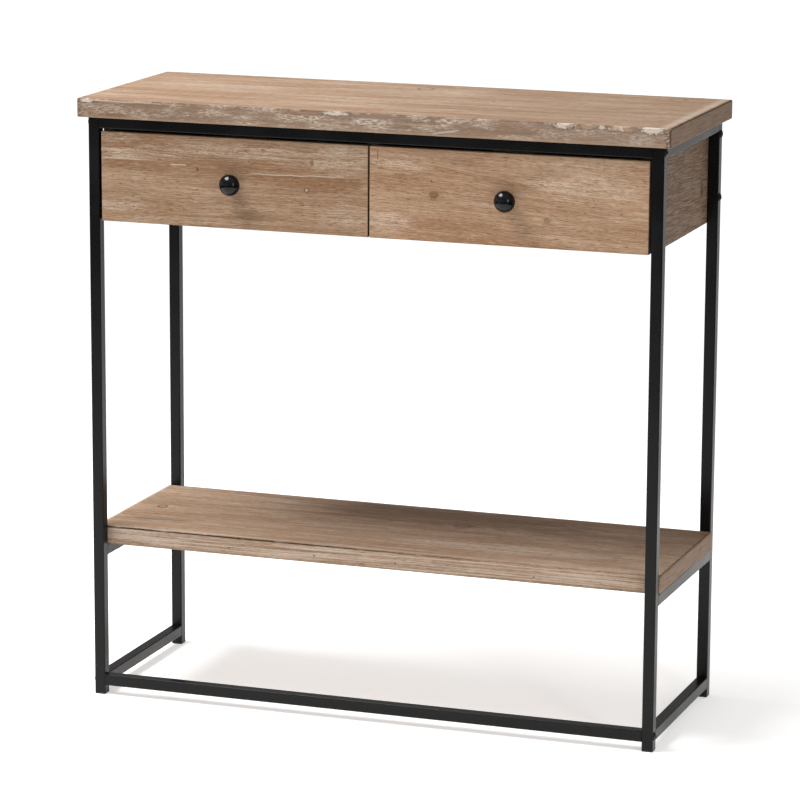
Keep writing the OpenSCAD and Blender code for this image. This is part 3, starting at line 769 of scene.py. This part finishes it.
spot, run = places("drawer_left_front")
front_board(
    "left", 31.0, heart=(0.150, -0.055), tone=0.935, wash=1.0, contrast=1.30, warmth=0.9,
    broad=0.10, spread=0.45,
    marks=(spot(-0.0847, 0.7008, 0.0027, 0.0026, 0.85, 0.75, "wash", 0.9),
           spot(-0.0774, 0.7364, 0.0030, 0.0046, 0.15, 0.75, "warm", 0.75),
           spot(-0.2356, 0.7194, 0.0018, 0.0016, 0.60, 0.80, "dark", 0.9)),
    pale=(spot(-0.335, 0.735, 0.075, 0.009, 1.0), spot(-0.352, 0.755, 0.04, 0.010, 0.5),
          spot(-0.345, 0.668, 0.045, 0.013, 0.8), spot(-0.18, 0.745, 0.15, 0.013, 0.7),
          spot(-0.04, 0.740, 0.06, 0.022, 0.7), spot(-0.26, 0.6515, 0.12, 0.004, 0.5),
          spot(-0.03, 0.672, 0.05, 0.016, 0.5)),
    stains=(spot(-0.160, 0.664, 0.040, 0.009, 0.35), spot(-0.330, 0.693, 0.045, 0.010, 0.15)),
    ledges=(run(-0.371, 0.7272, -0.262, 0.7255, 0.020, 0.90, "rust"),
            run(-0.262, 0.7235, -0.190, 0.7225, 0.018, 0.60, "rust"),
            run(-0.165, 0.7175, -0.001, 0.7190, 0.026, 0.90, "rust")),
    lines=(run(-0.172, 0.7172, -0.030, 0.7204, 0.0010, 0.85, CREAM_LINE),
           run(-0.274, 0.7240, -0.250, 0.7244, 0.0012, 0.85, (0.56, 0.48, 0.40)),
           run(-0.268, 0.7228, -0.244, 0.7232, 0.0006, 0.70, TONE["dark"]),
           run(-0.306, 0.7060, -0.290, 0.6925, 0.0008, 0.6, TONE["warm"]),
           run(-0.262, 0.7015, -0.244, 0.7070, 0.0007, 0.5, TONE["warm"]),
           run(-0.371, 0.7288, -0.310, 0.7276, 0.0009, 0.65, (0.54, 0.46, 0.39))))

spot, run = places("drawer_right_front")
front_board(
    "right", 47.0, turn=-0.055, heart=(-0.150, -0.050), tone=1.12, wash=0.95, contrast=1.26,
    warmth=0.7, broad=0.12, spread=0.50,
    knots=(spot(0.0880, 0.6995, 0.0036, 0.9), spot(0.2397, 0.6831, 0.0026, 0.7)),
    marks=(spot(0.0870, 0.6998, 0.0030, 0.0022, 0.4, 0.4, "rust", 0.9),
           spot(0.0846, 0.7220, 0.0013, 0.0012, 0.5, 0.8, "dark", 0.8),
           spot(0.2550, 0.6990, 0.0040, 0.0014, 0.2, 0.5, "warm", 0.7)),
    pale=(spot(0.045, 0.742, 0.05, 0.014, 0.6), spot(0.285, 0.725, 0.09, 0.022, 0.7),
          spot(0.03, 0.668, 0.04, 0.018, 0.7), spot(0.30, 0.752, 0.07, 0.008, 0.6)),
    stains=(spot(0.130, 0.7476, 0.035, 0.0060, 0.25), spot(0.243, 0.7394, 0.040, 0.0060, 0.25),
            spot(0.075, 0.6972, 0.050, 0.0060, 0.20)),
    ledges=(run(0.082, 0.7425, 0.235, 0.7200, 0.012, 0.55, "rust"),
            run(0.195, 0.6990, 0.300, 0.6930, 0.014, 0.50, "rust")),
    lines=(run(0.0121, 0.7590, 0.0121, 0.7450, 0.0006, 0.9, SEAM_BLACK),
           run(0.070, 0.7460, 0.160, 0.7325, 0.0008, 0.45, CREAM_LINE)))

# ---- case sides
CASE_CAST = (1.0, 0.930, 0.850)
for side, seed in (("left", 61.0), ("right", 71.0)):
    panel = worn_board("case_panel_" + side, "case_side_" + side, "table", 0.0008,
                       (0.005, 0.010, 0.008), 0.0002, seed)
    lo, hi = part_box("case_side_" + side)
    paint(panel, wood("timber_case_" + side, (lo + hi) / 2, (hi - lo) / 2, Y, X, seed,
                      turn=-0.045, heart=(0.16, -0.06), tone=0.66, cast=CASE_CAST, wash=0.9,
                      contrast=1.4, broad=0.15, coarse=0.50, limed=0.62,
                      stains=((0.092, -0.018, 0.009, 0.014, 0.75),),
                      arris=(0.15, 0.5, 0.0009), end_dark=0.3))

# ---- hidden timber keeps its CAD shape
for node, along, face, seed in (("case_divider", Y, X, 81.0), ("case_back", X, Y, 83.0),
                                ("case_floor", X, Z, 85.0), ("case_stretcher_left", X, Z, 87.0),
                                ("case_stretcher_right", X, Z, 89.0)):
    paint(NODES[node], board_wood(node, along, face, seed, tone=0.85, wash=0.3,
                                  arris=(0.1, 0.3, 0.0008)))
PALE_ARRIS = (0.1, 0.2, 0.0008)
for side, seed in (("left", 91.0), ("right", 92.0)):
    node = "stop_block_" + side
    paint(NODES[node], board_wood(node, X, Z, seed, tones=PALE, wash=0.1, contrast=0.6,
                                  arris=PALE_ARRIS))
for side, seed in (("left", 101.0), ("right", 121.0)):
    for part, along, face in (("side_outer", Y, X), ("side_inner", Y, X), ("back", X, Y),
                              ("bottom", X, Z)):
        node = "drawer_" + side + "_" + part
        seed += 3.0
        paint(NODES[node], board_wood(node, along, face, seed, tones=PALE, wash=0.12,
                                      contrast=0.55, arris=PALE_ARRIS, end_dark=0.25))
# pegs are scattered, so their timber has no ends or arrises of its own
PEG = wood("timber_pegs", (0, 0, 0), (2, 2, 2), X, Z, 140.0, tones=PALE, wash=0.1, contrast=0.5)
for node in ("case_dowels", "drawer_left_dowels", "drawer_right_dowels"):
    paint(NODES[node], PEG)

# ------------------------------------------------------------------ knobs
LATHE_STEPS = 12
LATHE_SIDES = 64
# flange and neck: radius as a share of the knob's, height as a share of its length
KNOB_FOOT = ((0.10, 0.0), (0.54, 0.0), (0.57, 0.012), (0.57, 0.048), (0.54, 0.062),
             (0.47, 0.10), (0.45, 0.14), (0.45, 0.20), (0.49, 0.265))


def knob(side):
    """Turned knob on a small flange, made as one lathe profile from the CAD knob's box."""
    node = "drawer_" + side + "_knob"
    lo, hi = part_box(node)
    length, r = hi.y - lo.y, (hi.x - lo.x) / 2
    cx, cz = (lo.x + hi.x) / 2, (lo.z + hi.z) / 2
    # a round rim that runs on into a shallow domed front
    rim_r = r * 0.36
    rim_x, rim_z = r - rim_r, length * 0.54
    dome = length - rim_z
    cap_r = (rim_x ** 2 + dome ** 2 - rim_r ** 2) / (2 * (dome - rim_r))
    cap_z = length - cap_r
    meet = math.atan2(rim_z - cap_z, rim_x)
    profile = [(r * share, length * out) for share, out in KNOB_FOOT]
    for i in range(LATHE_STEPS + 1):
        a = -math.pi / 2 + (meet + math.pi / 2) * i / LATHE_STEPS
        profile.append((rim_x + rim_r * math.cos(a), rim_z + rim_r * math.sin(a)))
    for i in range(1, LATHE_STEPS):
        a = meet + (math.pi / 2 - meet) * i / LATHE_STEPS
        profile.append((cap_r * math.cos(a), cap_z + cap_r * math.sin(a)))
    bm = bmesh.new()
    turns = [2 * math.pi * j / LATHE_SIDES for j in range(LATHE_SIDES)]
    rings = [[bm.verts.new((cx + rad * math.cos(a), hi.y - out, cz + rad * math.sin(a)))
              for a in turns] for rad, out in profile]
    tip = bm.verts.new((cx, hi.y - length, cz))
    for j in range(LATHE_SIDES):
        k = (j + 1) % LATHE_SIDES
        for a, b in zip(rings, rings[1:]):
            bm.faces.new((a[j], a[k], b[k], b[j]))
        bm.faces.new((rings[-1][j], rings[-1][k], tip))
    bm.faces.new(list(reversed(rings[0])))
    for f in bm.faces:
        f.smooth = True
    bmesh.ops.recalc_face_normals(bm, faces=bm.faces)
    obj = new_object(node + "_turned", bm)
    paint(obj, KNOB)
    stand_for(obj, node, "drawer_" + side)


knob("left")
knob("right")

# ------------------------------------------------------------------ metalwork
for node in NODES:
    if node.startswith("leg_") or "_rail_" in node:
        paint(NODES[node], STEEL)
    elif node.startswith("foot_cap"):
        paint(NODES[node], CAP)
for node in ("rail_bolts", "case_bolts", "shelf_bolts"):
    paint(NODES[node], BOLT)
for node in ("rail_end_plugs", "top_screws", "case_inserts", "shelf_inserts",
             "drawer_left_knob_screw", "drawer_right_knob_screw"):
    paint(NODES[node], ZINC)

# ------------------------------------------------------------------ studio
# floor: a plain pale sheet that just reaches white under the lights
FLOOR_LO, FLOOR_HI = (-1.9, -2.2), (1.45, 3.0)
FLOOR_CELLS = 12
FLOOR_GLOW = 0.46
bm = bmesh.new()
bmesh.ops.create_grid(bm, x_segments=FLOOR_CELLS, y_segments=FLOOR_CELLS, size=0.5)
for vert in bm.verts:
    for a in (X, Y):
        vert.co[a] = FLOOR_LO[a] + (FLOOR_HI[a] - FLOOR_LO[a]) * (vert.co[a] + 0.5)
floor = new_object("studio_floor", bm)
net = Paint("floor_white")
sheen = net.noise(net.place, 2.0, 2.0, 0.5)
net.surface(base_color=net.mix(sheen, (0.88, 0.88, 0.88), (0.90, 0.90, 0.90)), roughness=0.9,
            specular_ior_level=0.1, emission_color=(1.0, 1.0, 1.0, 1.0),
            emission_strength=FLOOR_GLOW)
paint(floor, net.mat)

# room: bright for the camera, and for everything else dim below, brighter above, with a
# bright patch low on the left and a soft one under the horizon behind the table
SEEN_WHITE = 1.1
world = bpy.data.worlds.new("studio")
bpy.context.scene.world = world
net = Net(world)
heading = net.node("ShaderNodeTexCoord").outputs["Generated"]
_, _, rise = net.split(heading)


def lobe(direction, inner, outer, strength):
    """Soft bright patch of the studio around a direction."""
    node = net.node("ShaderNodeVectorMath", operation="DOT_PRODUCT")
    net.put(node.inputs[0], heading)
    net.put(node.inputs[1], tuple(Vector(direction).normalized()))
    return net.step(node.outputs["Value"], outer, inner, 0.0, strength)


left_patch = net.mul(net.step(rise, -0.20, 0.02), net.step(rise, 0.50, 0.16),
                     lobe((-0.78, -0.62, 0.05), 0.95, 0.10, 0.45))
back_patch = net.mul(net.step(rise, 0.10, -0.06), lobe((0.0, 1.0, -0.35), 0.90, 0.30, 0.70))
room = net.node("ShaderNodeBackground")
net.put(room.inputs["Color"], (1.0, 0.99, 0.98, 1.0))
net.put(room.inputs["Strength"], net.sum(net.step(rise, -0.14, 0.10, 0.05, 0.24),
                                         net.step(rise, 0.10, 0.85, 0.0, 0.30),
                                         left_patch, back_patch))
seen = net.node("ShaderNodeBackground")
net.put(seen.inputs["Color"], (1.0, 1.0, 1.0, 1.0))
net.put(seen.inputs["Strength"], SEEN_WHITE)
pick = net.node("ShaderNodeMixShader")
net.put(pick.inputs[0], net.node("ShaderNodeLightPath").outputs["Is Camera Ray"])
net.put(pick.inputs[1], room.outputs[0])
net.put(pick.inputs[2], seen.outputs[0])
net.put(net.node("ShaderNodeOutputWorld").inputs[0], pick.outputs[0])


def softbox(name, aim, direction, distance, size, power, colour=(1.0, 1.0, 1.0)):
    """Area light at a distance from aim, turned to face it."""
    data = bpy.data.lights.new(name, "AREA")
    data.shape = "ELLIPSE"
    data.size, data.size_y = size
    data.energy = power
    data.color = colour
    lamp = bpy.data.objects.new(name, data)
    bpy.context.collection.objects.link(lamp)
    away = Vector(direction).normalized()
    lamp.location = Vector(aim) + away * distance
    lamp.rotation_mode = "QUATERNION"
    lamp.rotation_quaternion = (-away).to_track_quat("-Z", "Y")


softbox("key", (-0.18, 0, 0.7), (-0.42, -0.23, 0.88), 2.1, (1.8, 1.0), 80.0,
        (1.0, 0.985, 0.965))
softbox("side_strip", (0, 0, 0.5), (0.75, -0.66, 0.30), 2.8, (0.35, 1.2), 9.0)

# ------------------------------------------------------------------ camera
# a long lens, shifted a little up, turned left and tipped down
LENS_MM, SENSOR_MM, SHIFT_UP = 173.8242, 36.0, 0.0375
YAW, PITCH, ROLL = (math.radians(a) for a in (19.375, -12.359, 0.306))
STAND = (1.65570, -4.71492, 1.46079)
cam_data = bpy.data.cameras.new("camera")
cam_data.sensor_width = SENSOR_MM
cam_data.lens = LENS_MM
cam_data.shift_y = SHIFT_UP
cam = bpy.data.objects.new("camera", cam_data)
bpy.context.collection.objects.link(cam)
ahead = Vector((-math.sin(YAW) * math.cos(PITCH), math.cos(YAW) * math.cos(PITCH),
                math.sin(PITCH)))
right = Vector((math.cos(YAW), math.sin(YAW), 0.0))
up = right.cross(ahead)
right, up = (right * math.cos(ROLL) + up * math.sin(ROLL),
             up * math.cos(ROLL) - right * math.sin(ROLL))
cam.matrix_world = (Matrix.Translation(STAND)
                    @ Matrix((right, up, -ahead)).transposed().to_4x4())
bpy.context.scene.camera = cam
bpy.context.scene.view_settings.view_transform = "Standard"
